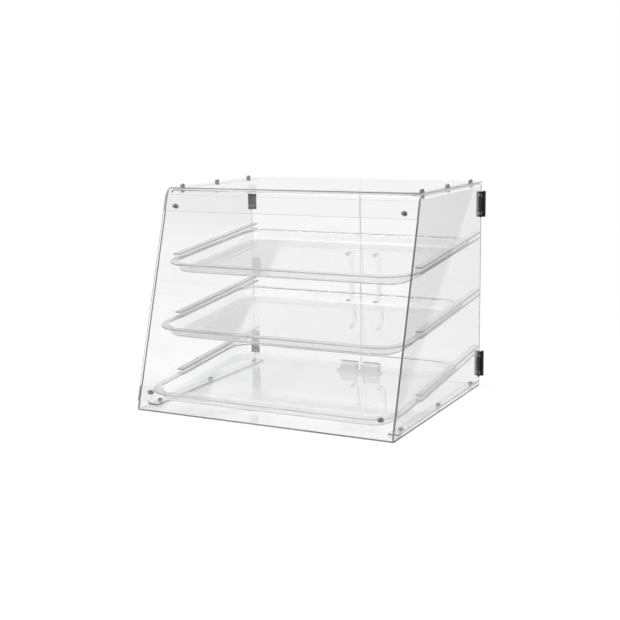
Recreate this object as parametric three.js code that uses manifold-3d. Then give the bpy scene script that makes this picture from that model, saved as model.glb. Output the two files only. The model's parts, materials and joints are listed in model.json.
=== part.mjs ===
// A countertop cake display cabinet of clear bent acrylic sheet with a slanted front,
// three sliding trays on sloping rails and two hinged rear doors.
// Millimetres, +Z up, +Y towards the rear doors, origin at the middle of the underside.

import * as THREE from 'three';
import { mergeVertices } from 'three/addons/utils/BufferGeometryUtils.js';
import Module from 'manifold-3d';

const wasm = await Module();
wasm.setup();

// Overall size
const cabinetWidth = 533;
const cabinetDepth = 457;
const cabinetHeight = 419;
const topSetback = 129;

// Sheets and the fits between them
const sheet = 3;
const fitGap = 0.3;
const baseBend = 1.2;
const topBend = 11;
const flangeBend = 5;

// Front panel and the lips that carry it, measured along the slant
const baseLip = 48;
const topLip = 46;
const panelBottomStep = 19;
const panelTopStep = 14;
const frontScrewInset = 26.5;
const frontScrewRise = 38;
const frontScrewDrop = 36.5;

// Flanges of the side panels
const flangeWidth = 24;
const baseFlangeSetback = 36;
const topFlangeSetback = 14;
const flangeRelief = 1;
const flangeScrewInset = 12.5;
const baseScrewFront = 62;
const baseScrewRear = 26;
const topScrewFront = 36;
const topScrewRear = 33;

// Dome screws of the panels
const headRadius = 4.7;
const headSkirt = 1.6;
const headDome = 4.2;
const shankRadius = 2;
const shankGap = 0.3;
const shankSpare = 4.5;
const shankFloorGap = 0.4;

// Rails
const railSlope = THREE.MathUtils.degToRad(5.5);
const railFront = 139;
const railDoorGap = 1.2;
const railWidth = 13;
const railThickness = 3;
const railSlot = 7.5;
const lowestRail = 43.5;
const railPitch = 117;

// Trays
const trayDoorGap = 14.8;
const traySideGap = 1.5;
const trayFrontGap = 0.3;
const trayCorner = 56;
const trayRim = 14;
const trayWall = 2.5;
const trayDepth = 18;
const trayDraft = 5;
const trayFloorBevel = 3;
const trayEdgeBevel = 0.6;

// Doors
const seamGap = 2;
const doorSideGap = 0.5;
const doorFloorGap = 2;

// Handles and their screws
const handleInset = 32;
const handleHeight = 206;
const handlePitch = 101;
const handleReach = 28;
const handleRadius = 4.75;
const handleBend = 14;
const handleScrewRadius = 1.6;
const handleHeadRadius = 3;
const handleHeadSkirt = 0.5;
const handleHeadDome = 1.7;
const handleScrewDepth = 12;

// Hinges
const hingeHeight = 51;
const hingeMargin = 20;
const leafWidth = 13;
const leafThickness = 1.5;
const barrelRadius = 3.4;
const pinRadius = 1.5;
const pinGap = 0.25;
const pinHeadRadius = 2.4;
const pinHeadHeight = 1;
const knuckleGap = 0.4;
const leafScrewPitch = 36;
const leafScrewRadius = 1.7;
const knuckleCount = 5;

// Magnetic catches and their strike plates
const catchInset = 26;
const catchWidth = 34;
const catchDepth = 14;
const catchHeight = 15.7;
const catchEar = 7.5;
const catchEarHeight = 5;
const catchEarHole = 1.7;
const catchBevel = 1.5;
const strikeWidth = 39;
const strikeThickness = 1.5;
const strikeHeight = 20;
const strikeFloorGap = 7;
const strikeScrewDrop = 4.3;
const strikeHole = 1.7;

// Counts of facets and one overrun for every cut
const bendSteps = 6;
const cornerSteps = 8;
const holeSides = 20;
const headSides = 16;
const headSteps = 4;
const barrelSides = 24;
const handleSides = 12;
const handleSteps = 36;
const cutOverrun = 2;

// Places worked out from the sizes above
const halfWidth = cabinetWidth / 2;
const halfDepth = cabinetDepth / 2;
const frontEdge = -halfDepth;
const doorInner = halfDepth - sheet;
const shellRear = doorInner - fitGap;
const slant = Math.atan2(topSetback, cabinetHeight);
const slantLength = Math.hypot(topSetback, cabinetHeight);
const webFloor = sheet + fitGap;
const webCeiling = cabinetHeight - sheet - fitGap;
const flangeFold = flangeBend + sheet;
const wallInner = halfWidth - sheet;
const hingeOffset = fitGap + barrelRadius;
const leafReach = hingeOffset + leafWidth;
const leafScrewReach = hingeOffset + leafWidth / 2;
const hingeRise = hingeMargin + hingeHeight / 2;
const hingeHeights = [hingeRise, cabinetHeight - hingeRise];

// The three tiers, each with the level of its ledges' top face at their front end
const tiers = ['lower', 'middle', 'upper'].map((name, index) => (
  { name, level: lowestRail + index * railPitch }
));

// Lengths along the rails, so that the strips and the upper tray end just ahead of the doors
const slopeToDoor = (cabinetDepth - sheet - railFront) / Math.cos(railSlope);
const railLength = slopeToDoor - railDoorGap;
const trayLength = slopeToDoor - trayDoorGap - trayStart(tiers.at(-1).level);

const clearAcrylic = new THREE.MeshStandardMaterial({
  color: 0xe9eef0, roughness: 0.05, metalness: 0, transparent: true, opacity: 0.35,
});
const trayAcrylic = new THREE.MeshStandardMaterial({
  color: 0xeef1f2, roughness: 0.12, metalness: 0, transparent: true, opacity: 0.45,
});
const handleAcrylic = new THREE.MeshStandardMaterial({
  color: 0xf0f4f5, roughness: 0.04, metalness: 0, transparent: true, opacity: 0.5,
});
const screwSteel = new THREE.MeshStandardMaterial({ color: 0x8c8e90, roughness: 0.25, metalness: 1 });
const hingeBlack = new THREE.MeshStandardMaterial({ color: 0x1d1e20, roughness: 0.4, metalness: 0.6 });
const pinSteel = new THREE.MeshStandardMaterial({ color: 0x54575a, roughness: 0.3, metalness: 1 });
const catchPlastic = new THREE.MeshStandardMaterial({ color: 0xc6c9ca, roughness: 0.35, metalness: 0 });
const strikeSteel = new THREE.MeshStandardMaterial({ color: 0xa9acae, roughness: 0.3, metalness: 1 });

// Solids and booleans
function toSolid(geometry) {
  const bare = geometry.clone();
  bare.deleteAttribute('normal');
  bare.deleteAttribute('uv');
  const merged = mergeVertices(bare);
  return new wasm.Manifold(new wasm.Mesh({
    numProp: 3,
    vertProperties: new Float32Array(merged.attributes.position.array),
    triVerts: new Uint32Array(merged.index.array),
  }));
}

function toGeometry(solid) {
  const mesh = solid.getMesh();
  const geometry = new THREE.BufferGeometry();
  geometry.setAttribute('position', new THREE.BufferAttribute(mesh.vertProperties, 3));
  geometry.setIndex(new THREE.BufferAttribute(mesh.triVerts, 1));
  geometry.computeVertexNormals();
  return geometry;
}

function join(first, ...others) {
  return toGeometry(others.reduce((solid, other) => solid.add(toSolid(other)), toSolid(first)));
}

function cut(first, ...tools) {
  return toGeometry(tools.reduce((solid, tool) => solid.subtract(toSolid(tool)), toSolid(first)));
}

function addMesh(group, name, geometry, material) {
  const mesh = new THREE.Mesh(geometry, material);
  mesh.name = name;
  group.add(mesh);
  return mesh;
}

// A closed outline from corners [x, y, radius], each rounded by its own radius
function roundedOutline(corners, steps = bendSteps) {
  const points = [];
  corners.forEach(([x, y, radius], index) => {
    const corner = new THREE.Vector2(x, y);
    if (!radius) {
      points.push(corner);
      return;
    }
    const before = corners.at(index - 1);
    const after = corners[(index + 1) % corners.length];
    const inward = new THREE.Vector2(before[0], before[1]).sub(corner).normalize();
    const outward = new THREE.Vector2(after[0], after[1]).sub(corner).normalize();
    const half = Math.acos(inward.dot(outward)) / 2;
    const reach = radius / Math.tan(half);
    const middle = inward.clone().add(outward).setLength(radius / Math.sin(half)).add(corner);
    const start = inward.clone().multiplyScalar(reach).add(corner).sub(middle);
    const end = outward.clone().multiplyScalar(reach).add(corner).sub(middle);
    const turn = Math.atan2(start.cross(end), start.dot(end));
    for (let step = 0; step <= steps; step += 1) {
      const angle = start.angle() + (turn * step) / steps;
      points.push(new THREE.Vector2(Math.cos(angle), Math.sin(angle)).multiplyScalar(radius).add(middle));
    }
  });
  return points;
}

// The section of a sheet bent once round a radius, with its material to the right of the route
function bentSheet(start, corner, end, radius) {
  const first = corner.clone().sub(start).normalize();
  const second = end.clone().sub(corner).normalize();
  const toRight = (direction) => new THREE.Vector2(direction.y, -direction.x).multiplyScalar(sheet);
  const half = Math.acos(-first.dot(second)) / 2;
  const bisector = second.clone().sub(first).setLength(sheet / Math.sin(half));
  const innerCorner = corner.clone().add(bisector);
  const innerStart = start.clone().add(toRight(first));
  const innerEnd = end.clone().add(toRight(second));
  return roundedOutline([
    [start.x, start.y, 0],
    [corner.x, corner.y, radius + sheet],
    [end.x, end.y, 0],
    [innerEnd.x, innerEnd.y, 0],
    [innerCorner.x, innerCorner.y, radius],
    [innerStart.x, innerStart.y, 0],
  ]);
}

// Prisms along each axis, from outlines in the plane across it
function prism(outline, depth) {
  return new THREE.ExtrudeGeometry(new THREE.Shape(outline), { depth, bevelEnabled: false });
}

function prismAlongX(outline, from, to) {
  const xAxis = new THREE.Vector3(1, 0, 0);
  const yAxis = new THREE.Vector3(0, 1, 0);
  const zAxis = new THREE.Vector3(0, 0, 1);
  const turned = new THREE.Matrix4().makeBasis(yAxis, zAxis, xAxis);
  return prism(outline, to - from).applyMatrix4(turned).translate(from, 0, 0);
}

function prismAlongY(outline, from, to) {
  return prism(outline, to - from).rotateX(Math.PI / 2).translate(0, to, 0);
}

// A block between two opposite corners
function block(corner, opposite) {
  const low = corner.clone().min(opposite);
  const size = corner.clone().max(opposite).sub(low);
  const middle = size.clone().divideScalar(2).add(low);
  return new THREE.BoxGeometry(size.x, size.y, size.z).translate(middle.x, middle.y, middle.z);
}

// A cylinder that runs from a seat along a direction, and as far back as its overrun
function rod(seat, direction, radius, length, overrun = 0, sides = holeSides) {
  const geometry = new THREE.CylinderGeometry(radius, radius, length + overrun, sides);
  const middle = direction.clone().multiplyScalar((length - overrun) / 2).add(seat);
  const turn = new THREE.Quaternion().setFromUnitVectors(new THREE.Vector3(0, 1, 0), direction);
  return geometry.applyQuaternion(turn).translate(middle.x, middle.y, middle.z);
}

// A point at a rise along the slanted front and a distance out of its lips
function slantPoint(rise, out) {
  return new THREE.Vector2(
    frontEdge + rise * Math.sin(slant) - out * Math.cos(slant),
    rise * Math.cos(slant) + out * Math.sin(slant),
  );
}

// The depth at which a plane lies that is set in from the lips' outer face, at a height
function slantDepth(height, inset) {
  return frontEdge + height * Math.tan(slant) + inset / Math.cos(slant);
}

const down = new THREE.Vector3(0, 0, -1);
const up = new THREE.Vector3(0, 0, 1);
const rearward = new THREE.Vector3(0, 1, 0);
const forward = new THREE.Vector3(0, -1, 0);
const intoFront = new THREE.Vector3(0, Math.cos(slant), -Math.sin(slant));
const leftAndRight = [['left', -1], ['right', 1]];

// Where each panel screw sits: its head rests on the seat and its shank runs along the direction
function panelScrews() {
  const seats = [];
  const nutScrewLength = 2 * sheet + 2 * fitGap + shankSpare;
  const topMiddle = (topScrewFront + topSetback + cabinetDepth - topScrewRear) / 2;
  const baseMiddle = (baseScrewFront + cabinetDepth - baseScrewRear) / 2;
  const topDepths = {
    front: topSetback + topScrewFront,
    middle: topMiddle,
    rear: cabinetDepth - topScrewRear,
  };
  const baseDepths = {
    front: baseScrewFront,
    middle: baseMiddle,
    rear: cabinetDepth - baseScrewRear,
  };
  const frontRises = { lower: frontScrewRise, upper: slantLength - frontScrewDrop };
  for (const [sideName, side] of leftAndRight) {
    const flangeX = side * (halfWidth - flangeScrewInset);
    const frontX = side * (halfWidth - frontScrewInset);
    const addScrew = (panel, place, seat, direction, length) => {
      seats.push({ panel, name: `${panel}_screw_${sideName}_${place}`, seat, direction, length });
    };
    for (const [place, rise] of Object.entries(frontRises)) {
      const point = slantPoint(rise, sheet + 2 * fitGap);
      addScrew('front', place, new THREE.Vector3(frontX, point.x, point.y), intoFront, nutScrewLength);
    }
    for (const [place, depth] of Object.entries(topDepths)) {
      const seat = new THREE.Vector3(flangeX, frontEdge + depth, cabinetHeight + fitGap);
      addScrew('top', place, seat, down, nutScrewLength);
    }
    for (const [place, depth] of Object.entries(baseDepths)) {
      const seat = new THREE.Vector3(flangeX, frontEdge + depth, webFloor + sheet + fitGap);
      addScrew('base', place, seat, down, seat.z - shankFloorGap);
    }
  }
  return seats;
}

const screws = panelScrews();

function screwHoles(panel, wanted = () => true) {
  return screws
    .filter((screw) => screw.panel === panel && wanted(screw))
    .map(({ seat, direction, length }) => (
      rod(seat, direction, shankRadius + shankGap, length + cutOverrun, cutOverrun)
    ));
}

// A dome on a short skirt on the +Y side of its seat, and a plain shank on the other
function screwGeometry({ radius, skirt, dome }, shank, length) {
  const stem = [[0, -length], [shank, -length], [shank, 0], [radius, 0]];
  const profile = stem.map(([out, height]) => new THREE.Vector2(out, height));
  for (let step = 0; step <= headSteps; step += 1) {
    const angle = (step / headSteps) * (Math.PI / 2);
    const out = step === headSteps ? 0 : radius * Math.cos(angle);
    profile.push(new THREE.Vector2(out, skirt + dome * Math.sin(angle)));
  }
  return new THREE.LatheGeometry(profile, headSides);
}

function placeScrew(mesh, seat, direction) {
  mesh.position.copy(seat);
  mesh.quaternion.setFromUnitVectors(new THREE.Vector3(0, 1, 0), direction.clone().negate());
}

function addPanelScrews(group) {
  const head = { radius: headRadius, skirt: headSkirt, dome: headDome };
  for (const { name, seat, direction, length } of screws) {
    const geometry = screwGeometry(head, shankRadius, length);
    placeScrew(addMesh(group, name, geometry, screwSteel), seat, direction);
  }
}

// Base, top and front panels, each as wide as the cabinet
function addPanels(group) {
  const baseSection = bentSheet(
    new THREE.Vector2(shellRear, 0),
    new THREE.Vector2(frontEdge, 0),
    slantPoint(baseLip, 0),
    baseBend,
  );
  const topSection = bentSheet(
    slantPoint(slantLength - topLip, 0),
    slantPoint(slantLength, 0),
    new THREE.Vector2(shellRear, cabinetHeight),
    topBend,
  );
  const frontSection = [
    slantPoint(panelBottomStep, fitGap),
    slantPoint(slantLength - panelTopStep, fitGap),
    slantPoint(slantLength - panelTopStep, fitGap + sheet),
    slantPoint(panelBottomStep, fitGap + sheet),
  ];
  const isLower = ({ name }) => name.endsWith('lower');
  const isUpper = ({ name }) => name.endsWith('upper');
  const basePanel = prismAlongX(baseSection, -halfWidth, halfWidth);
  const topPanel = prismAlongX(topSection, -halfWidth, halfWidth);
  const frontPanel = prismAlongX(frontSection, -halfWidth, halfWidth);
  const baseHoles = [...screwHoles('base'), ...screwHoles('front', isLower)];
  const topHoles = [...screwHoles('top'), ...screwHoles('front', isUpper)];
  addMesh(group, 'base_panel', cut(basePanel, ...baseHoles), clearAcrylic);
  addMesh(group, 'top_panel', cut(topPanel, ...topHoles), clearAcrylic);
  addMesh(group, 'front_panel', cut(frontPanel, ...screwHoles('front')), clearAcrylic);
}

// A side panel: a flat web that follows the slant, with a flange bent in at its foot and its head
function addSidePanel(group, sideName, side) {
  const baseFlangeFront = frontEdge + baseFlangeSetback;
  const topFlangeFront = frontEdge + topSetback + topFlangeSetback;
  const webInset = sheet + fitGap;
  const web = roundedOutline([
    [slantDepth(webFloor, webInset), webFloor, baseBend],
    [baseFlangeFront, webFloor, 0],
    [baseFlangeFront, webFloor + flangeFold, 0],
    [shellRear, webFloor + flangeFold, 0],
    [shellRear, webCeiling - flangeFold, 0],
    [topFlangeFront, webCeiling - flangeFold, 0],
    [topFlangeFront, webCeiling, 0],
    [slantDepth(webCeiling, webInset), webCeiling, topBend],
  ]);
  const outer = side * halfWidth;
  const inner = side * wallInner;
  const webPlate = prismAlongX(web, Math.min(outer, inner), Math.max(outer, inner));
  const mirrored = (points) => points.map((point) => new THREE.Vector2(side * point.x, point.y));
  const weld = flangeFold + cutOverrun;
  const baseFlange = mirrored(bentSheet(
    new THREE.Vector2(halfWidth, webFloor + weld),
    new THREE.Vector2(halfWidth, webFloor),
    new THREE.Vector2(halfWidth - flangeWidth, webFloor),
    flangeBend,
  ));
  const topFlange = mirrored(bentSheet(
    new THREE.Vector2(halfWidth - flangeWidth, webCeiling),
    new THREE.Vector2(halfWidth, webCeiling),
    new THREE.Vector2(halfWidth, webCeiling - weld),
    flangeBend,
  ));
  const folded = join(
    webPlate,
    prismAlongY(baseFlange, baseFlangeFront + flangeRelief, shellRear),
    prismAlongY(topFlange, topFlangeFront + flangeRelief, shellRear),
  );
  const onThisSide = ({ name }) => name.includes(`_${sideName}_`);
  const leafDepth = halfDepth + hingeOffset - leafScrewReach;
  const hingeHoles = hingeHeights.flatMap((height) => (
    [-1, 1].map((end) => rod(
      new THREE.Vector3(outer, leafDepth, height + (end * leafScrewPitch) / 2),
      new THREE.Vector3(-side, 0, 0),
      leafScrewRadius,
      sheet + cutOverrun,
      cutOverrun,
    ))
  ));
  const holes = [...screwHoles('base', onThisSide), ...screwHoles('top', onThisSide), ...hingeHoles];
  addMesh(group, `${sideName}_side_panel`, cut(folded, ...holes), clearAcrylic);
}

// How far up its rail a tray's front edge lies, resting on the front panel or behind the base lip
function trayStart(level) {
  const rimTop = fitGap + trayWall;
  const restAgainst = (inset) => {
    const stop = (level + rimTop * Math.cos(railSlope)) * Math.tan(slant) + inset / Math.cos(slant);
    const along = Math.cos(railSlope) - Math.sin(railSlope) * Math.tan(slant);
    return (stop + rimTop * Math.sin(railSlope) - railFront) / along;
  };
  const onPanel = restAgainst(trayFrontGap - fitGap);
  const clearsLip = level + onPanel * Math.sin(railSlope) > baseLip * Math.cos(slant);
  return clearsLip ? onPanel : restAgainst(sheet + trayFrontGap);
}

// One ring of points round a tray, inset from its outer edge
function trayRing(inset, height) {
  const halfX = wallInner - traySideGap - inset;
  const halfY = trayLength / 2 - inset;
  const radius = trayCorner - inset;
  const corners = [[halfX, -halfY], [halfX, halfY], [-halfX, halfY], [-halfX, -halfY]];
  const outline = roundedOutline(corners.map(([x, y]) => [x, y, radius]), cornerSteps);
  return outline.map((point) => new THREE.Vector3(point.x, point.y, height));
}

// A tray: a flat rim round a shallow basin, all of one wall thickness
function trayGeometry() {
  const foot = trayRim + trayDraft;
  const rings = [
    trayRing(foot + trayFloorBevel, -trayDepth),
    trayRing(foot, trayFloorBevel - trayDepth),
    trayRing(trayRim, 0),
    trayRing(trayEdgeBevel, 0),
    trayRing(0, trayEdgeBevel),
    trayRing(0, trayWall - trayEdgeBevel),
    trayRing(trayEdgeBevel, trayWall),
    trayRing(trayRim + trayWall, trayWall),
    trayRing(foot + trayWall, trayFloorBevel + trayWall - trayDepth),
    trayRing(foot + trayFloorBevel + trayWall, trayWall - trayDepth),
  ];
  const count = rings[0].length;
  const floorBottom = new THREE.Vector3(0, 0, -trayDepth);
  const floorTop = new THREE.Vector3(0, 0, trayWall - trayDepth);
  const vertices = [...rings.flat(), floorBottom, floorTop].flatMap((vertex) => vertex.toArray());
  const bottomIndex = rings.length * count;
  const topIndex = bottomIndex + 1;
  const lastRing = (rings.length - 1) * count;
  const triangles = [];
  for (let point = 0; point < count; point += 1) {
    const next = (point + 1) % count;
    triangles.push(bottomIndex, next, point);
    triangles.push(topIndex, lastRing + point, lastRing + next);
    for (let ring = 0; ring < lastRing; ring += count) {
      triangles.push(ring + point, ring + next, ring + count + next);
      triangles.push(ring + point, ring + count + next, ring + count + point);
    }
  }
  const geometry = new THREE.BufferGeometry();
  geometry.setAttribute('position', new THREE.Float32BufferAttribute(vertices, 3));
  geometry.setIndex(triangles);
  geometry.computeVertexNormals();
  return geometry;
}

// A tier: a ledge and a guide strip bonded to each side panel, and the tray between them
function addTier(group, { name, level }) {
  const tier = new THREE.Group();
  tier.position.set(0, frontEdge + railFront, level);
  tier.rotation.x = railSlope;
  const stripOuter = wallInner - fitGap;
  const strip = new THREE.BoxGeometry(railWidth, railLength, railThickness);
  for (const [sideName, side] of leftAndRight) {
    const x = side * (stripOuter - railWidth / 2);
    const ledge = addMesh(tier, `${name}_${sideName}_ledge`, strip, clearAcrylic);
    ledge.position.set(x, railLength / 2, -railThickness / 2);
    const guide = addMesh(tier, `${name}_${sideName}_guide`, strip, clearAcrylic);
    guide.position.set(x, railLength / 2, railSlot + railThickness / 2);
  }
  const tray = addMesh(tier, `${name}_tray`, trayGeometry(), trayAcrylic);
  tray.position.set(0, trayStart(level) + trayLength / 2, fitGap);
  group.add(tier);
}

// A door panel, with holes for its handle, its hinge leaves and its strike plate
function addDoor(group, sideName, side) {
  const panel = block(
    new THREE.Vector3((side * seamGap) / 2, doorInner, doorFloorGap),
    new THREE.Vector3(side * (halfWidth - doorSideGap), halfDepth, cabinetHeight),
  );
  const holeThrough = (across, height, radius) => (
    rod(new THREE.Vector3(side * across, doorInner, height), rearward, radius, sheet + cutOverrun, cutOverrun)
  );
  const leafX = halfWidth + hingeOffset - leafScrewReach;
  const holes = [holeThrough(catchInset, strikeFloorGap + strikeHeight - strikeScrewDrop, strikeHole)];
  for (const end of [-1, 1]) {
    const footHeight = handleHeight + (end * handlePitch) / 2;
    holes.push(holeThrough(handleInset, footHeight, handleScrewRadius + shankGap));
    for (const height of hingeHeights) {
      holes.push(holeThrough(leafX, height + (end * leafScrewPitch) / 2, leafScrewRadius));
    }
  }
  addMesh(group, `${sideName}_door_panel`, cut(panel, ...holes), clearAcrylic);
}

// A round acrylic bar bent to a D, with a bore up each end for its screw
function handleGeometry() {
  const half = handlePitch / 2;
  const foot = -handleBend;
  const reach = handleReach - handleRadius;
  const route = new THREE.CurvePath();
  const at = (y, z) => new THREE.Vector3(0, y, z);
  const lowBend = at(reach, -half);
  const highBend = at(reach, half);
  route.add(new THREE.LineCurve3(at(fitGap, -half), at(reach + foot, -half)));
  route.add(new THREE.QuadraticBezierCurve3(at(reach + foot, -half), lowBend, at(reach, -half + handleBend)));
  route.add(new THREE.LineCurve3(at(reach, -half + handleBend), at(reach, half - handleBend)));
  route.add(new THREE.QuadraticBezierCurve3(at(reach, half - handleBend), highBend, at(reach + foot, half)));
  route.add(new THREE.LineCurve3(at(reach + foot, half), at(fitGap, half)));
  const section = new THREE.Shape();
  section.absarc(0, 0, handleRadius, 0, Math.PI * 2);
  const bar = new THREE.ExtrudeGeometry(section, {
    steps: handleSteps, curveSegments: handleSides / 2, extrudePath: route, bevelEnabled: false,
  });
  const depth = handleScrewDepth - sheet;
  const bores = [-half, half].map((z) => (
    rod(at(0, z), rearward, handleScrewRadius + shankGap, depth, cutOverrun)
  ));
  return cut(bar, ...bores);
}

function addHandle(group, sideName, side) {
  const handle = addMesh(group, `${sideName}_handle`, handleGeometry(), handleAcrylic);
  handle.position.set(side * handleInset, halfDepth, handleHeight);
  const head = { radius: handleHeadRadius, skirt: handleHeadSkirt, dome: handleHeadDome };
  for (const [place, end] of [['lower', -1], ['upper', 1]]) {
    const seat = new THREE.Vector3(
      side * handleInset,
      doorInner - fitGap,
      handleHeight + (end * handlePitch) / 2,
    );
    const geometry = screwGeometry(head, handleScrewRadius, handleScrewDepth - fitGap);
    placeScrew(addMesh(group, `${sideName}_handle_screw_${place}`, geometry, screwSteel), seat, rearward);
  }
}

// A hinge leaf about its pin's axis: a plate along -Y, cut back beside the other leaf's knuckles
function leafGeometry(knuckles) {
  const pitch = (hingeHeight + knuckleGap) / knuckleCount;
  const plateBack = -barrelRadius;
  const plateFront = plateBack + leafThickness;
  const plate = block(
    new THREE.Vector3(plateBack, -leafReach, -hingeHeight / 2),
    new THREE.Vector3(plateFront, -barrelRadius - knuckleGap, hingeHeight / 2),
  );
  const pieces = knuckles.flatMap((index) => {
    const low = index * pitch - hingeHeight / 2;
    const high = low + pitch - knuckleGap;
    const tab = block(
      new THREE.Vector3(plateBack, -barrelRadius - knuckleGap - leafThickness, low),
      new THREE.Vector3(plateFront, 0, high),
    );
    return [tab, rod(new THREE.Vector3(0, 0, low), up, barrelRadius, high - low, 0, barrelSides)];
  });
  const bore = rod(
    new THREE.Vector3(0, 0, -hingeHeight / 2),
    up,
    pinRadius + pinGap,
    hingeHeight + cutOverrun,
    cutOverrun,
    barrelSides,
  );
  const screwHoles = [-1, 1].map((end) => rod(
    new THREE.Vector3(plateBack, -leafScrewReach, (end * leafScrewPitch) / 2),
    new THREE.Vector3(1, 0, 0),
    leafScrewRadius,
    leafThickness + cutOverrun,
    cutOverrun,
  ));
  return cut(join(plate, ...pieces), bore, ...screwHoles);
}

// A pin with a head at its upper end, hidden in the barrel at its lower end
function pinGeometry() {
  const shoulder = hingeHeight / 2 + fitGap;
  const bevel = pinHeadHeight / 3;
  const profile = [
    [0, -hingeHeight / 2],
    [pinRadius, -hingeHeight / 2],
    [pinRadius, shoulder],
    [pinHeadRadius, shoulder],
    [pinHeadRadius, shoulder + pinHeadHeight - bevel],
    [pinHeadRadius - bevel, shoulder + pinHeadHeight],
    [0, shoulder + pinHeadHeight],
  ].map(([radius, height]) => new THREE.Vector2(radius, height));
  return new THREE.LatheGeometry(profile, barrelSides).rotateX(Math.PI / 2);
}

// A hinge round the rear corner: one leaf on the side panel, one on the door, and the pin
function addHinge(group, sideName, side, place, height) {
  const hinge = new THREE.Group();
  hinge.position.set(side * (halfWidth + hingeOffset), halfDepth + hingeOffset, height);
  const turned = new THREE.Group();
  turned.rotation.y = side < 0 ? Math.PI : 0;
  addMesh(turned, `${sideName}_${place}_hinge_side_leaf`, leafGeometry([0, 2, 4]), hingeBlack);
  const doorLeaf = addMesh(turned, `${sideName}_${place}_hinge_door_leaf`, leafGeometry([1, 3]), hingeBlack);
  doorLeaf.rotation.set(Math.PI, 0, -Math.PI / 2);
  addMesh(hinge, `${sideName}_${place}_hinge_pin`, pinGeometry(), pinSteel);
  hinge.add(turned);
  group.add(hinge);
}

// A magnetic catch with an ear at each end, screwed to the base just ahead of the door
function catchGeometry() {
  const halfBlock = catchWidth / 2;
  const halfSpan = halfBlock + catchEar;
  const section = roundedOutline([
    [-halfSpan, 0, 0],
    [halfSpan, 0, 0],
    [halfSpan, catchEarHeight, catchBevel],
    [halfBlock, catchEarHeight, 0],
    [halfBlock, catchHeight, catchBevel],
    [-halfBlock, catchHeight, catchBevel],
    [-halfBlock, catchEarHeight, 0],
    [-halfSpan, catchEarHeight, catchBevel],
  ], bendSteps / 2);
  const body = prismAlongY(section, -catchDepth, 0);
  const earHoles = [-1, 1].map((end) => rod(
    new THREE.Vector3(end * (halfBlock + catchEar / 2), -catchDepth / 2, catchEarHeight),
    down,
    catchEarHole,
    catchEarHeight + cutOverrun,
    cutOverrun,
  ));
  return cut(body, ...earHoles);
}

function strikeGeometry() {
  const plate = block(
    new THREE.Vector3(-strikeWidth / 2, -strikeThickness, 0),
    new THREE.Vector3(strikeWidth / 2, 0, strikeHeight),
  );
  const seat = new THREE.Vector3(0, 0, strikeHeight - strikeScrewDrop);
  return cut(plate, rod(seat, forward, strikeHole, strikeThickness + cutOverrun, cutOverrun));
}

function addCatch(group, sideName, side) {
  const strikeRear = doorInner - fitGap;
  const catchRear = strikeRear - strikeThickness - fitGap;
  const body = addMesh(group, `${sideName}_catch`, catchGeometry(), catchPlastic);
  body.position.set(side * catchInset, catchRear, sheet + fitGap);
  const strike = addMesh(group, `${sideName}_strike_plate`, strikeGeometry(), strikeSteel);
  strike.position.set(side * catchInset, strikeRear, strikeFloorGap);
}

const cabinet = new THREE.Group();
addPanels(cabinet);
addPanelScrews(cabinet);
for (const tier of tiers) {
  addTier(cabinet, tier);
}
for (const [sideName, side] of leftAndRight) {
  addSidePanel(cabinet, sideName, side);
  addDoor(cabinet, sideName, side);
  addHandle(cabinet, sideName, side);
  addCatch(cabinet, sideName, side);
  ['lower', 'upper'].forEach((place, index) => addHinge(cabinet, sideName, side, place, hingeHeights[index]));
}

export default cabinet;
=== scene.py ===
# Looks of a countertop cake display cabinet: clear bent acrylic, formed trays, black hinges, dome screws.
# Metres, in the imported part's frame: +Z up, +Y towards the rear doors, origin in the middle of the underside.

import json
import math

import bmesh
import bpy
from mathutils import Matrix, Vector

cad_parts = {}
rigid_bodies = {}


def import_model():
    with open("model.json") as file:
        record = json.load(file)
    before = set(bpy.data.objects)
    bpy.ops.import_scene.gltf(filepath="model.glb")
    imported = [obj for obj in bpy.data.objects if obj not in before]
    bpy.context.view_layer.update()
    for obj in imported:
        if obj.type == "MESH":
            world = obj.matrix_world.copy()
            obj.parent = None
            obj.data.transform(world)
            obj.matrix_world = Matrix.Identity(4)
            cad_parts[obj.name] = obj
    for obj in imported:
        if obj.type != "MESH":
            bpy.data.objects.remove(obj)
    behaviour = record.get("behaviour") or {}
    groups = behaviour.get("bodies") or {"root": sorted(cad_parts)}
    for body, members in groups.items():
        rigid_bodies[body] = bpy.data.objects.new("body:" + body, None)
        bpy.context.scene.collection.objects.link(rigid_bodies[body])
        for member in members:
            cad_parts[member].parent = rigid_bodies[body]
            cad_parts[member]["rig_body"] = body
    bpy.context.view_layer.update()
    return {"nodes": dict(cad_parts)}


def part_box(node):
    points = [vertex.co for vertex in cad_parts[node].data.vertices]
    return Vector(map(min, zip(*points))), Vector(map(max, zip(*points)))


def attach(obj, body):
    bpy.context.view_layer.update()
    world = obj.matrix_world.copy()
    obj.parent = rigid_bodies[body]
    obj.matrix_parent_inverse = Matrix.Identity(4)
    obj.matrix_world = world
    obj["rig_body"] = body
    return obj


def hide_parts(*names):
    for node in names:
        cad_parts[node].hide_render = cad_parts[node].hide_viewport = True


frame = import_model()
MM = 0.001

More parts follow.
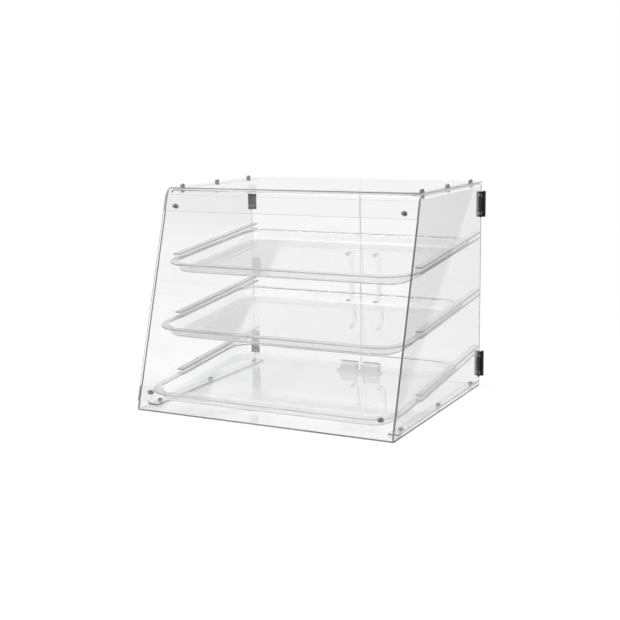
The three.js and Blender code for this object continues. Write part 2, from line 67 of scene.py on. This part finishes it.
# Sizes repeated from the part's source, lengths in millimetres
HALF_WIDTH, HALF_DEPTH, HEIGHT, SETBACK = 266.5, 228.5, 419.0, 129.0
SHEET, GAP = 3.0, 0.3
SLANT = math.atan2(SETBACK, HEIGHT)
SLANT_LENGTH = math.hypot(SETBACK, HEIGHT)
SLOPE = math.radians(5.5)
TRAY_HALF_WIDTH = HALF_WIDTH - SHEET - 1.5
TRAY_WALL, TRAY_DEPTH, TRAY_RIM, TRAY_CORNER = 2.5, 18.0, 14.0, 56.0
HANDLE_INSET, HANDLE_HEIGHT, HANDLE_PITCH = 32.0, 206.0, 101.0
HANDLE_REACH, HANDLE_RADIUS, HANDLE_BEND = 28.0, 4.75, 14.0
BORE_RADIUS, BORE_DEPTH = 1.9, 9.0
FRONT_SCREW_INSET = 26.5
FRONT_SCREW_RISES = {"lower": 38.0, "upper": SLANT_LENGTH - 36.5}
HINGE_HEIGHTS = {"lower": 45.5, "upper": 373.5}
LEAF_SCREW_HALF_PITCH = 18.0
SIDE_LEAF_FACE, SIDE_LEAF_SCREW_Y = 268.3, 222.0
DOOR_LEAF_FACE, DOOR_LEAF_SCREW_X = 230.3, 260.0
CATCH_INSET, CATCH_EAR_HALF_PITCH, CATCH_EAR_Y, CATCH_EAR_TOP = 26.0, 20.75, 216.4, 8.3
STRIKE_FACE, STRIKE_SCREW_HEIGHT = 223.7, 22.7
TIERS = ("lower", "middle", "upper")
SIDES = (("left", -1), ("right", 1))
RAILS = ("_ledge", "_guide")

# Sizes of the finer forms that only the looks have, in millimetres
TRAY_FLOOR_INSET = 44.0
TRAY_FOOT_INSETS = (20.0, 21.8)
TRAY_MOUTH_INSET = 15.8
TRAY_ROUNDINGS = ((7.0, 6), (2.2, 4), (1.1, 4), (1.1, 4), (4.7, 6), (4.5, 6))
TRAY_CORNER_STEPS = 14
HANDLE_FOOT, HANDLE_CHAMFER, HANDLE_BEND_STEPS = 3.5, 0.4, 12
WASHER_PROFILE = ((0.05, 4.4), (0.7, 4.4))
NUT_PROFILE = ((0.75, 3.6), (1.1, 4.032), (2.6, 4.032), (3.1, 3.528))
HEAD_SEAT, HEAD_RIM, HEAD_RISE, HEAD_STEPS = 0.02, 0.25, 1.1, 6
HEAD_FLAT_SHARE = 0.14
SHANK_RADIUS = 1.35
# Head radius, and how far the shank reaches behind the seat
LEAF_SCREW, RIVET, EAR_SCREW, STRIKE_SCREW = (2.8, 4.5), (2.5, 0.0), (2.6, 4.8), (2.6, 1.4)


# Nodes and materials

class Graph:
    """The node tree of a new material or world, with short calls for the nodes used here."""

    def __init__(self, name, world=False):
        owners, output, coordinate = bpy.data.materials, "ShaderNodeOutputMaterial", "Object"
        if world:
            owners, output, coordinate = bpy.data.worlds, "ShaderNodeOutputWorld", "Generated"
        self.owner = owners.new(name)
        self.owner.use_nodes = True
        self.tree = self.owner.node_tree
        self.tree.nodes.clear()
        self.output = self.add(output)
        self.place = self.add("ShaderNodeTexCoord").outputs[coordinate]

    def add(self, kind, **values):
        node = self.tree.nodes.new(kind)
        for key, value in values.items():
            setattr(node, key, value)
        return node

    def link(self, source, target):
        self.tree.links.new(source, target)

    def feed(self, node, **values):
        """Values or links on a node's sockets, named with _ for a space."""
        for key, value in values.items():
            socket = node.inputs[key.replace("_", " ")]
            if isinstance(value, bpy.types.NodeSocket):
                self.link(value, socket)
            else:
                socket.default_value = value
        return node

    def rays(self):
        return self.add("ShaderNodeLightPath").outputs

    def axes(self):
        """The place's X, Y and Z."""
        split = self.add("ShaderNodeSeparateXYZ")
        self.link(self.place, split.inputs[0])
        return split.outputs

    def stretched(self, scale):
        mapping = self.add("ShaderNodeMapping")
        self.link(self.place, mapping.inputs["Vector"])
        mapping.inputs["Scale"].default_value = scale
        return mapping.outputs["Vector"]

    def noise(self, scale, detail=3.0, roughness=0.5, vector=None):
        node = self.add("ShaderNodeTexNoise")
        self.link(vector or self.place, node.inputs["Vector"])
        self.feed(node, Scale=scale, Detail=detail, Roughness=roughness)
        return node.outputs["Fac"]

    def ramp(self, value, low, high, first=0.0, last=1.0):
        """A smooth change from a first to a last number while the value goes from low to high."""
        node = self.add("ShaderNodeMapRange")
        node.interpolation_type = "SMOOTHSTEP"
        self.link(value, node.inputs["Value"])
        for key, number in zip(("From Min", "From Max", "To Min", "To Max"), (low, high, first, last)):
            node.inputs[key].default_value = number
        return node.outputs["Result"]

    def math(self, operation, first, second):
        node = self.add("ShaderNodeMath", operation=operation)
        for index, value in enumerate((first, second)):
            if isinstance(value, bpy.types.NodeSocket):
                self.link(value, node.inputs[index])
            else:
                node.inputs[index].default_value = value
        return node.outputs[0]

    def sum(self, first, second):
        return self.math("ADD", first, second)

    def product(self, first, second):
        return self.math("MULTIPLY", first, second)

    def mix(self, factor, first, second):
        """The first number where the factor is 0, and the second where it is 1."""
        return self.sum(self.product(factor, self.math("SUBTRACT", second, first)), first)

    def tint(self, factor, dark, light):
        node = self.add("ShaderNodeMix", data_type="RGBA")
        self.link(factor, node.inputs["Factor"])
        for index, colour in ((6, dark), (7, light)):
            if isinstance(colour, bpy.types.NodeSocket):
                self.link(colour, node.inputs[index])
            else:
                node.inputs[index].default_value = (*colour, 1)
        return node.outputs[2]

    def bump(self, height, strength, distance, after=None):
        node = self.add("ShaderNodeBump")
        self.link(height, node.inputs["Height"])
        self.feed(node, Strength=strength, Distance=distance)
        if after:
            self.link(after, node.inputs["Normal"])
        return node.outputs["Normal"]

    def principled(self, **values):
        return self.feed(self.add("ShaderNodeBsdfPrincipled"), **values)

    def mix_shaders(self, factor, first, second):
        node = self.add("ShaderNodeMixShader")
        for socket, value in zip(node.inputs, (factor, first.outputs[0], second.outputs[0])):
            self.link(value, socket)
        return node

    def finished(self, shader):
        """The material or world, with a shader on its surface."""
        self.link(shader.outputs[0], self.output.inputs["Surface"])
        return self.owner


def scratches(graph, scale):
    """Fine wiping marks: two crossed sets of long thin streaks, thinned out by a broad noise."""
    along = graph.noise(scale, 2.0, 0.6, graph.stretched((1.0, 0.06, 0.35)))
    across = graph.noise(scale * 0.8, 2.0, 0.6, graph.stretched((0.08, 1.0, 0.5)))
    both = graph.sum(graph.ramp(along, 0.6, 0.74), graph.ramp(across, 0.62, 0.76))
    where = graph.ramp(graph.noise(9.0, 2.0), 0.42, 0.68, 0.1, 1.0)
    return graph.product(both, where)


def clear_acrylic(name, tint, haze, wave, wave_scale, density=0.0, clear=1.0, rough=0.0):
    """Clear acrylic that lets the lamps through: faint waves of its forming, wiping marks, grey depth."""
    graph = Graph(name)
    marks = scratches(graph, 260.0)
    smears = graph.ramp(graph.noise(22.0, 4.0, 0.62), 0.5, 0.85, 0.0, haze)
    roughness = graph.sum(graph.sum(smears, rough), graph.product(marks, 0.015))
    waves = graph.bump(graph.noise(wave_scale, 1.5, 0.4), wave, 0.002)
    body = graph.principled(
        Base_Color=(*tint, 1), Roughness=roughness, IOR=1.49, Transmission_Weight=clear,
        Normal=graph.bump(marks, 0.008, 0.0001, waves),
    )
    through = graph.feed(graph.add("ShaderNodeBsdfTransparent"), Color=(0.985, 0.985, 0.985, 1))
    rays = graph.rays()
    lamp_light = graph.math("MAXIMUM", rays["Is Shadow Ray"], rays["Is Diffuse Ray"])
    if density:
        depth = graph.feed(graph.add("ShaderNodeVolumeAbsorption"), Color=(0.5, 0.5, 0.5, 1), Density=density)
        graph.link(depth.outputs[0], graph.output.inputs["Volume"])
    return graph.finished(graph.mix_shaders(lamp_light, body, through))


def sawn_edge(name, grey):
    """The frosted sawn edge of a sheet, half clear, in a grey that is painted shade: how dark the edge looks in
    the light, put into its colour.
    """
    tint = (grey, grey + 0.005, grey + 0.01)
    return clear_acrylic(name, tint, 0.2, 0.02, 90.0, clear=0.5, rough=0.15)


def metal(name, dark, light, rough_low, rough_high, grain, grain_depth, streaks=(1.0, 1.0, 1.0)):
    """Bare or plated metal with drawn grain, cloudy wear and uneven gloss."""
    graph = Graph(name)
    fine = graph.noise(grain, 3.0, 0.6, graph.stretched(streaks))
    cloud = graph.noise(120.0, 4.0, 0.6)
    return graph.finished(graph.principled(
        Base_Color=graph.tint(graph.ramp(cloud, 0.3, 0.7), dark, light), Metallic=1.0,
        Roughness=graph.ramp(graph.sum(cloud, fine), 0.7, 1.3, rough_low, rough_high),
        Normal=graph.bump(fine, 0.25, grain_depth),
    ))


def black_paint(name):
    """Satin black paint on steel: fine orange peel, dust and small bare scuffs."""
    graph = Graph(name)
    peel = graph.noise(900.0, 2.0, 0.5)
    cloud = graph.noise(140.0, 5.0, 0.65)
    scuffs = graph.ramp(graph.noise(420.0, 5.0, 0.7), 0.66, 0.74)
    paint = graph.tint(graph.ramp(cloud, 0.35, 0.75), (0.014, 0.014, 0.015), (0.032, 0.032, 0.034))
    return graph.finished(graph.principled(
        Base_Color=graph.tint(graph.product(scuffs, 0.5), paint, (0.07, 0.07, 0.072)), Metallic=0.1,
        Roughness=graph.ramp(cloud, 0.3, 0.75, 0.3, 0.46), Normal=graph.bump(peel, 0.2, 0.00006),
    ))


def moulded_plastic(name):
    """Pale moulded plastic, slightly milky, with flow marks and a fine spark texture."""
    graph = Graph(name)
    spark = graph.noise(1500.0, 2.0, 0.5)
    flow = graph.noise(70.0, 3.0, 0.55, graph.stretched((1.0, 1.0, 3.0)))
    return graph.finished(graph.principled(
        Base_Color=graph.tint(graph.ramp(flow, 0.3, 0.7), (0.82, 0.825, 0.83), (0.9, 0.905, 0.91)),
        Roughness=graph.ramp(flow, 0.3, 0.7, 0.28, 0.42), Normal=graph.bump(spark, 0.15, 0.00005),
        Subsurface_Weight=0.25, Subsurface_Radius=(0.004, 0.004, 0.004), Subsurface_Scale=0.5,
    ))


ZINC = ((0.5, 0.5, 0.51), (0.64, 0.64, 0.65))
MATERIALS = {
    "sheet_acrylic": clear_acrylic("sheet_clear", (0.989, 0.99, 0.991), 0.01, 0.0004, 6.0),
    # Painted shade: one frosted edge in three greys, dark on most sheets, mid on the rail strips and pale on
    # the doors and top, for how dark each looks in the light
    "sawn_edge": sawn_edge("sheet_edge_dark_shade_painted", 0.34),
    "light_edge": sawn_edge("sheet_edge_pale_shade_painted", 0.86),
    "rail_edge": sawn_edge("rail_edge_mid_shade_painted", 0.66),
    "tray_acrylic": clear_acrylic("tray_clear", (0.982, 0.983, 0.984), 0.01, 0.0006, 12.0, 1.0, clear=0.88),
    "handle_acrylic": clear_acrylic("bar_clear", (0.93, 0.932, 0.936), 0.03, 0.01, 30.0, 8.0),
    "screw_metal": metal("dome_plating", (0.27, 0.27, 0.28), (0.4, 0.4, 0.41), 0.05, 0.12, 500.0, 0.00003),
    "nut_metal": metal("nut_plating", *ZINC, 0.14, 0.26, 500.0, 0.00004),
    "hinge_metal": black_paint("hinge_paint"),
    "pin_metal": metal(
        "pin_steel", (0.24, 0.24, 0.25), (0.36, 0.36, 0.37), 0.22, 0.4, 800.0, 0.00005, (1.0, 1.0, 0.1),
    ),
    "catch_plastic": moulded_plastic("catch_moulding"),
    "strike_metal": metal("strike_plating", *ZINC, 0.2, 0.36, 900.0, 0.00005, (0.08, 1.0, 1.0)),
}
for node in frame["nodes"].values():
    for material_slot in node.material_slots:
        material_slot.material = MATERIALS[material_slot.material.name.split(".")[0]]


# Pieces

def body_of(node):
    """The body that a CAD node rides."""
    return frame["nodes"][node]["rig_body"]


def make_piece(name, mesh, body, slot, replaced=None, finish=None, bevel=0.0):
    """A new piece on a body, in the finish that the slot's name picks or a given one, with a bevel in
    millimetres.
    """
    piece = bpy.data.objects.new(name, mesh)
    bpy.context.scene.collection.objects.link(piece)
    mesh.materials.append(MATERIALS[finish or slot])
    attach(piece, body)
    if replaced:
        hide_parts(replaced)
    if bevel:
        edges = piece.modifiers.new("edge_bevel", "BEVEL")
        edges.width = bevel * MM
        edges.segments = 2
        edges.limit_method = "ANGLE"
        edges.angle_limit = math.radians(40)
    # Normals that keep the flat faces flat
    weighted = piece.modifiers.new("flat_faces", "WEIGHTED_NORMAL")
    weighted.mode = "FACE_AREA"
    weighted.weight = 90
    weighted.keep_sharp = True


def is_smooth(edge, sharp):
    return edge.is_manifold and edge.calc_face_angle(0) < math.radians(sharp)


def finish_mesh(bm, name, sharp):
    """Smooth shading with every edge over the sharp angle kept hard."""
    bmesh.ops.recalc_face_normals(bm, faces=bm.faces)
    for face in bm.faces:
        face.smooth = True
    for edge in bm.edges:
        edge.smooth = is_smooth(edge, sharp)
    mesh = bpy.data.meshes.new(name)
    bm.to_mesh(mesh)
    bm.free()
    return mesh


def mark_sawn_edges(bm, sharp):
    """The second material, the sawn edge in its grey of painted shade, for every surface of a sheet but its two
    large ones.
    """
    left = set(bm.faces)
    surfaces = []
    while left:
        surface = [left.pop()]
        # The surface grows while it is walked, over every smooth edge
        for face in surface:
            for edge in face.edges:
                if is_smooth(edge, sharp):
                    joined = [other for other in edge.link_faces if other in left]
                    left.difference_update(joined)
                    surface.extend(joined)
        surfaces.append(surface)
    surfaces.sort(key=lambda surface: sum(face.calc_area() for face in surface))
    for surface in surfaces[:-2]:
        for face in surface:
            face.material_index = 1


def edge_finish(node):
    """The finish for the sawn edges of a sheet or rail strip, as dark as the photograph shows them: a grey of
    painted shade, pale on the doors and top, mid on the rail strips, dark on the other sheets.
    """
    if node.endswith(RAILS):
        return "rail_edge"
    return "light_edge" if "door" in node or "top" in node else "sawn_edge"


def polished(node, slot, bevel=0.2, sharp=32.0):
    """A node's form again with welded corners, smooth bends and fine bevels, in place of its facets."""
    source = frame["nodes"][node].data
    bm = bmesh.new()
    points = [bm.verts.new(vertex.co) for vertex in source.vertices]
    for polygon in source.polygons:
        bm.faces.new([points[index] for index in polygon.vertices])
    bmesh.ops.remove_doubles(bm, verts=bm.verts, dist=2e-6)
    bmesh.ops.dissolve_limit(bm, angle_limit=math.radians(0.5), verts=bm.verts, edges=bm.edges)
    if slot == "sheet_acrylic":
        mark_sawn_edges(bm, sharp)
    mesh = finish_mesh(bm, node + "_finished", sharp)
    make_piece(node + "_finished", mesh, body_of(node), slot, node, bevel=bevel)
    if slot == "sheet_acrylic":
        mesh.materials.append(MATERIALS[edge_finish(node)])


def circle(middle, across, beyond, radius, sides):
    """Points of a circle in the plane of two unit vectors."""
    turns = [2 * math.pi * index / sides for index in range(sides)]
    return [middle + (across * math.cos(turn) + beyond * math.sin(turn)) * radius for turn in turns]


def loft(name, rings, sharp=32.0):
    """A closed solid through rings of equally many points in millimetres, capped at both ends."""
    bm = bmesh.new()
    loops = [[bm.verts.new(point * MM) for point in ring] for ring in rings]
    count = len(loops[0])
    for lower, upper in zip(loops, loops[1:]):
        for index in range(count):
            after = (index + 1) % count
            bm.faces.new((lower[index], lower[after], upper[after], upper[index]))
    bm.faces.new(reversed(loops[0]))
    bm.faces.new(loops[-1])
    return finish_mesh(bm, name, sharp)


def turned(name, profile, seat, direction, sides=24, sharp=32.0):
    """A turned solid: (distance along the direction, radius) pairs in millimetres from a seat."""
    axis = Vector(direction).normalized()
    across = axis.orthogonal().normalized()
    beyond = axis.cross(across)
    rings = []
    for distance, radius in profile:
        rings.append(circle(Vector(seat) + axis * distance, across, beyond, radius, sides))
    return loft(name, rings, sharp)


# Trays

def rounded_corner(before, corner, after, radius, steps):
    """Points of an arc that rounds one corner of a profile."""
    inward = (Vector(before) - Vector(corner)).normalized()
    outward = (Vector(after) - Vector(corner)).normalized()
    half = inward.angle(outward) / 2
    middle = Vector(corner) + (inward + outward).normalized() * (radius / math.sin(half))
    start = Vector(corner) + inward * (radius / math.tan(half)) - middle
    end = Vector(corner) + outward * (radius / math.tan(half)) - middle
    turn = start.angle_signed(end)
    return [middle + Matrix.Rotation(-turn * step / steps, 2) @ start for step in range(steps + 1)]


def tray_profile():
    """(inset, height) pairs from under the floor, round the rim's edge, to the floor's top."""
    outer_foot, inner_foot = TRAY_FOOT_INSETS
    under, over = -TRAY_DEPTH, TRAY_WALL - TRAY_DEPTH
    corners = [
        (TRAY_FLOOR_INSET, under), (outer_foot, under), (TRAY_RIM, 0), (0, 0),
        (0, TRAY_WALL), (TRAY_MOUTH_INSET, TRAY_WALL), (inner_foot, over), (TRAY_FLOOR_INSET, over),
    ]
    points = [Vector(corners[0])]
    for index, (radius, steps) in enumerate(TRAY_ROUNDINGS):
        points += rounded_corner(*corners[index:index + 3], radius, steps)
    return points + [Vector(corners[-1])]


def tray_ring(inset, height, half_length):
    """A rounded rectangle round the tray, inset from its outer edge."""
    radius = TRAY_CORNER - inset
    reach = TRAY_HALF_WIDTH - inset - radius
    run = half_length - inset - radius
    ring = []
    for quarter, (side, end) in enumerate(((1, -1), (1, 1), (-1, 1), (-1, -1))):
        middle = Vector((side * reach, end * run, height))
        for step in range(TRAY_CORNER_STEPS + 1):
            angle = math.radians(-90 + 90 * quarter + 90 * step / TRAY_CORNER_STEPS)
            ring.append(middle + Vector((radius * math.cos(angle), radius * math.sin(angle), 0)))
    return ring


def add_tray(tier):
    """A formed tray in place of its node, with rolled transitions from rim to wall to floor."""
    node = tier + "_tray"
    low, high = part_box(node)
    # The node's own length along the slope, from its extent in depth
    length = ((high.y - low.y) / MM - TRAY_WALL * math.sin(SLOPE)) / math.cos(SLOPE)
    tilt = Matrix.Rotation(SLOPE, 3, "X")
    rings = []
    for inset, height in tray_profile():
        rings.append([tilt @ point for point in tray_ring(inset, height, length / 2)])
    front = min(point.y for ring in rings for point in ring)
    foot = min(point.z for ring in rings for point in ring)
    shift = Vector((0, low.y / MM - front, low.z / MM - foot))
    mesh = loft(node + "_formed", [[point + shift for point in ring] for ring in rings], sharp=60.0)
    make_piece(node + "_formed", mesh, body_of(node), "tray_acrylic", node)


for tier in TIERS:
    add_tray(tier)


# Handles

def handle_route():
    """Points and directions of the bar's middle line, in the plane across the door."""
    half = HANDLE_PITCH / 2
    reach = HANDLE_REACH - HANDLE_RADIUS
    route = [(Vector((0, depth, -half)), Vector((0, 1, 0))) for depth in (GAP, HANDLE_FOOT)]
    for end in (-1, 1):
        corner = Vector((0, reach, end * half))
        first = Vector((0, reach - HANDLE_BEND, end * half))
        last = Vector((0, reach, end * (half - HANDLE_BEND)))
        if end > 0:
            first, last = last, first
        for step in range(HANDLE_BEND_STEPS + 1):
            share = step / HANDLE_BEND_STEPS
            point = first * (1 - share) ** 2 + corner * 2 * share * (1 - share) + last * share ** 2
            heading = (corner - first) * (1 - share) + (last - corner) * share
            route.append((point, heading.normalized()))
    return route + [(Vector((0, depth, half)), Vector((0, -1, 0))) for depth in (HANDLE_FOOT, GAP)]


def handle_rings(sides=28):
    """Bore, face and bar of the handle as one run of rings."""
    across = Vector((1, 0, 0))

    def ring(point, heading, radius):
        return circle(point, across, across.cross(heading), radius, sides)

    def foot(point, inward, heading):
        """Rings from the bore's floor to the bar, at an end where inward leads into the bar."""
        return [
            ring(point + inward * BORE_DEPTH, heading, BORE_RADIUS), ring(point, heading, BORE_RADIUS),
            ring(point, heading, HANDLE_RADIUS - HANDLE_CHAMFER),
            ring(point + inward * HANDLE_CHAMFER, heading, HANDLE_RADIUS),
        ]

    route = handle_route()
    start, heading = route[0]
    end, last = route[-1]
    bar = [ring(point, direction, HANDLE_RADIUS) for point, direction in route[1:-1]]
    return foot(start, heading, heading) + bar + foot(end, -last, last)[::-1]


for side_name, side in SIDES:
    place = Vector((side * HANDLE_INSET, HALF_DEPTH, HANDLE_HEIGHT))
    node = side_name + "_handle"
    mesh = loft(node + "_bar", [[point + place for point in ring] for ring in handle_rings()], sharp=40.0)
    make_piece(node + "_bar", mesh, body_of(node), "handle_acrylic", node)


# Sheets, rail strips, screws and hinges get smooth bends, sawn edges in greys of painted shade, domes and
# barrels

for node in sorted(frame["nodes"]):
    if node.endswith(("_panel", *RAILS)):
        polished(node, "sheet_acrylic")
    elif "_screw_" in node:
        polished(node, "screw_metal", bevel=0.15, sharp=38.0)
    elif node.endswith("_leaf"):
        polished(node, "hinge_metal")
    elif node.endswith("_pin"):
        polished(node, "pin_metal", bevel=0.1)


# Small fasteners that the solids leave out

def hex_nut(name, seat, direction):
    """A hexagon nut with chamfered corners on a plain washer."""
    washer = turned(name + "_washer", WASHER_PROFILE, seat, direction, sides=28)
    make_piece(name + "_washer", washer, "cabinet", "screw_metal", finish="nut_metal", bevel=0.15)
    nut = turned(name, NUT_PROFILE, seat, direction, sides=6, sharp=20.0)
    make_piece(name, nut, "cabinet", "screw_metal", finish="nut_metal", bevel=0.12)


def small_screw(name, seat, direction, body, radius, tip):
    """A low oval head on a seat, and where it has a tip, a shank behind it down to there."""
    profile = [(-tip, SHANK_RADIUS), (HEAD_SEAT, SHANK_RADIUS)] if tip else []
    profile += [(HEAD_SEAT, radius), (HEAD_RIM, radius)]
    for step in range(1, HEAD_STEPS):
        angle = step / HEAD_STEPS * math.pi / 2
        profile.append((HEAD_RIM + (HEAD_RISE - HEAD_RIM) * math.sin(angle), radius * math.cos(angle)))
    profile.append((HEAD_RISE, radius * HEAD_FLAT_SHARE))
    make_piece(name, turned(name, profile, seat, direction, sharp=50.0), body, "strike_metal")


def front_nut_seat(side, rise):
    """A point on the rear face of the slanted lips, at a rise along the slant."""
    depth = -HALF_DEPTH + rise * math.sin(SLANT) + SHEET * math.cos(SLANT)
    height = rise * math.cos(SLANT) - SHEET * math.sin(SLANT)
    return Vector((side * (HALF_WIDTH - FRONT_SCREW_INSET), depth, height))


def add_hinge_screws(side_name, side, place, end, z):
    """A screw and a rivet head inside it for each leaf of a hinge, at one height."""
    hinge, door = f"{side_name}_{place}", side_name + "_door"
    face = Vector((side * SIDE_LEAF_FACE, SIDE_LEAF_SCREW_Y, z))
    inside = Vector((side * (HALF_WIDTH - SHEET), SIDE_LEAF_SCREW_Y, z))
    small_screw(f"{hinge}_side_leaf_screw_{end}", face, (side, 0, 0), "cabinet", *LEAF_SCREW)
    small_screw(f"{hinge}_side_leaf_rivet_{end}", inside, (-side, 0, 0), "cabinet", *RIVET)
    face = Vector((side * DOOR_LEAF_SCREW_X, DOOR_LEAF_FACE, z))
    inside = Vector((side * DOOR_LEAF_SCREW_X, HALF_DEPTH - SHEET, z))
    small_screw(f"{hinge}_door_leaf_screw_{end}", face, (0, 1, 0), door, *LEAF_SCREW)
    small_screw(f"{hinge}_door_leaf_rivet_{end}", inside, (0, -1, 0), door, *RIVET)


INTO_FRONT = Vector((0, math.cos(SLANT), -math.sin(SLANT)))
for side_name, side in SIDES:
    for place, rise in FRONT_SCREW_RISES.items():
        hex_nut(f"front_nut_{side_name}_{place}", front_nut_seat(side, rise), INTO_FRONT)
    for place in ("front", "middle", "rear"):
        low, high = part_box(f"top_screw_{side_name}_{place}")
        seat = (low + high) / 2 / MM
        seat.z = HEIGHT - 2 * SHEET - GAP
        hex_nut(f"top_nut_{side_name}_{place}", seat, (0, 0, -1))
    for place, height in HINGE_HEIGHTS.items():
        for end, step in (("bottom", -1), ("top", 1)):
            add_hinge_screws(side_name, side, place, end, height + step * LEAF_SCREW_HALF_PITCH)
    for end, step in (("inner", -1), ("outer", 1)):
        seat = Vector((side * (CATCH_INSET + step * CATCH_EAR_HALF_PITCH), CATCH_EAR_Y, CATCH_EAR_TOP))
        small_screw(f"{side_name}_catch_screw_{end}", seat, (0, 0, 1), "cabinet", *EAR_SCREW)
    seat = Vector((side * CATCH_INSET, STRIKE_FACE, STRIKE_SCREW_HEIGHT))
    small_screw(f"{side_name}_strike_screw", seat, (0, -1, 0), side_name + "_door", *STRIKE_SCREW)


# Floor, light, backdrop and camera

def stage_floor():
    """A pale round floor that fades out into the white surround, and keeps the shadow."""
    bpy.ops.mesh.primitive_circle_add(vertices=96, radius=9.0, fill_type="NGON", location=(0, 0, -0.0004))
    floor = bpy.context.object
    floor.name = "stage_floor"
    graph = Graph("stage_floor_paper")
    place = graph.axes()
    distance = graph.add("ShaderNodeVectorMath", operation="LENGTH")
    graph.link(graph.place, distance.inputs[0])
    near = graph.ramp(distance.outputs["Value"], 0.75, 1.5, 1.0, 0.0)
    # Reflections see the floor as a sheet of paper that ends on a line beside the cabinet
    edge = graph.sum(graph.product(place["Y"], 0.319), 0.343)
    paper = graph.ramp(graph.math("SUBTRACT", place["X"], edge), -0.01, 0.02, 1.0, 0.0)
    rays = graph.rays()
    glossy = graph.math("MINIMUM", rays["Glossy Depth"], 1.0)
    solid = graph.mix(glossy, near, paper)
    shine = graph.math("MAXIMUM", rays["Is Glossy Ray"], rays["Is Transmission Ray"])
    seen = graph.math("MAXIMUM", rays["Is Camera Ray"], shine)
    glow = graph.math("SUBTRACT", graph.product(seen, 0.55), graph.product(glossy, 0.25))
    fibre = graph.tint(graph.noise(600.0, 4.0), (0.475, 0.475, 0.475), (0.49, 0.49, 0.49))
    paint = graph.principled(
        Base_Color=fibre, Roughness=0.9, Specular_IOR_Level=0.0,
        Emission_Color=(1, 1, 1, 1), Emission_Strength=glow,
    )
    clear = graph.add("ShaderNodeBsdfTransparent")
    floor.data.materials.append(graph.finished(graph.mix_shaders(solid, clear, paint)))


def stage_world():
    """White for the camera and through level sheets, with a dim studio round a backdrop for gloss."""
    graph = Graph("stage_world", world=True)
    bpy.context.scene.world = graph.owner
    direction = graph.axes()
    rise = direction["Z"]

    def beyond(plane, low=-0.003, high=0.003):
        """0 on one side of a plane through the middle, and 1 on the side that its normal points to."""
        side = graph.add("ShaderNodeVectorMath", operation="DOT_PRODUCT")
        graph.link(graph.place, side.inputs[0])
        side.inputs[1].default_value = plane
        return graph.ramp(side.outputs["Value"], low, high)

    # The white backdrop stands behind the cabinet, and ends where the trays mirror its left edge
    past_left = graph.product(graph.ramp(rise, 0.17, 0.2), beyond((-0.806, -0.283, -0.520)))
    width = graph.product(beyond((-0.78, 0.62, 0.1)), beyond((0.7, 0.71, 0.0)))
    height = graph.product(graph.ramp(rise, 0.0, 0.01), graph.ramp(rise, 0.5, 0.6, 1.0, 0.0))
    backdrop = graph.product(graph.math("SUBTRACT", 1.0, past_left), graph.product(width, height))
    low = graph.ramp(rise, 0.22, 0.27, 1.0, 0.0)
    white = graph.mix(low, graph.ramp(rise, 0.31, 0.37, 0.88, 0.7), 0.95)

    # Round it is a dimmer studio, with a light card low down ahead and a soft light overhead
    behind = graph.mix(low, graph.ramp(rise, 0.27, 0.36, 0.6, 0.05), 0.85)
    card = graph.ramp(direction["X"], -0.562, -0.548, 0.2, 1.5)
    ahead = graph.mix(beyond((-0.15, 0.0, 1.0), 0.337, 0.35), card, 0.75)
    ahead = graph.mix(graph.ramp(rise, 0.18, 0.24), 0.5, ahead)
    ahead = graph.mix(graph.ramp(rise, 0.47, 0.55, 1.0, 0.0), 0.12, ahead)
    studio = graph.mix(graph.ramp(direction["Y"], -0.1, 0.1), ahead, behind)
    studio = graph.mix(graph.ramp(rise, -0.005, 0.005), 0.2, studio)
    reflected = graph.mix(backdrop, studio, white)
    reflected = graph.mix(beyond((-0.449, 0.1, 0.888), 0.8, 0.84), reflected, 1.1)

    rays = graph.rays()
    through = graph.ramp(rise, 0.42, 0.6, 1.0, 0.2)
    level = graph.mix(rays["Is Diffuse Ray"], 1.0, 0.8)
    level = graph.mix(rays["Is Transmission Ray"], level, through)
    level = graph.mix(graph.math("MINIMUM", rays["Glossy Depth"], 1.0), level, reflected)
    level = graph.mix(rays["Is Camera Ray"], level, 1.0)
    graph.finished(graph.feed(graph.add("ShaderNodeBackground"), Color=(1, 1, 1, 1), Strength=level))


def stage_lamp(name, place, size, energy, mirrored=True):
    """One large soft lamp aimed at the cabinet, that shiny surfaces mirror or not."""
    lamp = bpy.data.lights.new(name, "AREA")
    lamp.shape = "RECTANGLE"
    lamp.size, lamp.size_y = size
    lamp.energy = energy
    holder = bpy.data.objects.new(name, lamp)
    bpy.context.scene.collection.objects.link(holder)
    holder.visible_glossy = mirrored
    holder.location = place
    aim = Vector((0, 0, 0.2)) - Vector(place)
    holder.rotation_euler = aim.to_track_quat("-Z", "Y").to_euler()


def stage_camera():
    """The camera fitted to the photograph: place, azimuth, elevation, roll and focal length."""
    place = (1.01164, -1.97602, 0.57826)
    azimuth, elevation, roll = (math.radians(angle) for angle in (27.27, 10.24, -0.84))
    focal_pixels, image_pixels, sensor = 1145.83, 620, 36.0
    ahead = Vector((
        -math.sin(azimuth) * math.cos(elevation),
        math.cos(azimuth) * math.cos(elevation),
        -math.sin(elevation),
    ))
    right = ahead.cross(Vector((0, 0, 1))).normalized()
    up = right.cross(ahead)
    turned_right = right * math.cos(roll) + up * math.sin(roll)
    turned_up = up * math.cos(roll) - right * math.sin(roll)
    camera = bpy.data.cameras.new("camera")
    camera.sensor_width = sensor
    camera.lens = focal_pixels / image_pixels * sensor
    holder = bpy.data.objects.new("camera", camera)
    bpy.context.scene.collection.objects.link(holder)
    turn = Matrix((turned_right, turned_up, -ahead)).transposed().to_4x4()
    holder.matrix_world = Matrix.Translation(place) @ turn
    bpy.context.scene.camera = holder


stage_floor()
stage_world()
stage_lamp("stage_softbox", (-0.6, -0.5, 2.3), (1.3, 1.0), 14.0)
stage_lamp("stage_fill", (1.9, -1.6, 1.6), (1.2, 1.2), 6.0, mirrored=False)
stage_camera()

# Many clear surfaces lie behind one another
scene = bpy.context.scene
scene.view_settings.view_transform = "Standard"
scene.cycles.max_bounces = 40
scene.cycles.transmission_bounces = 40
scene.cycles.glossy_bounces = 16
scene.cycles.transparent_max_bounces = 64
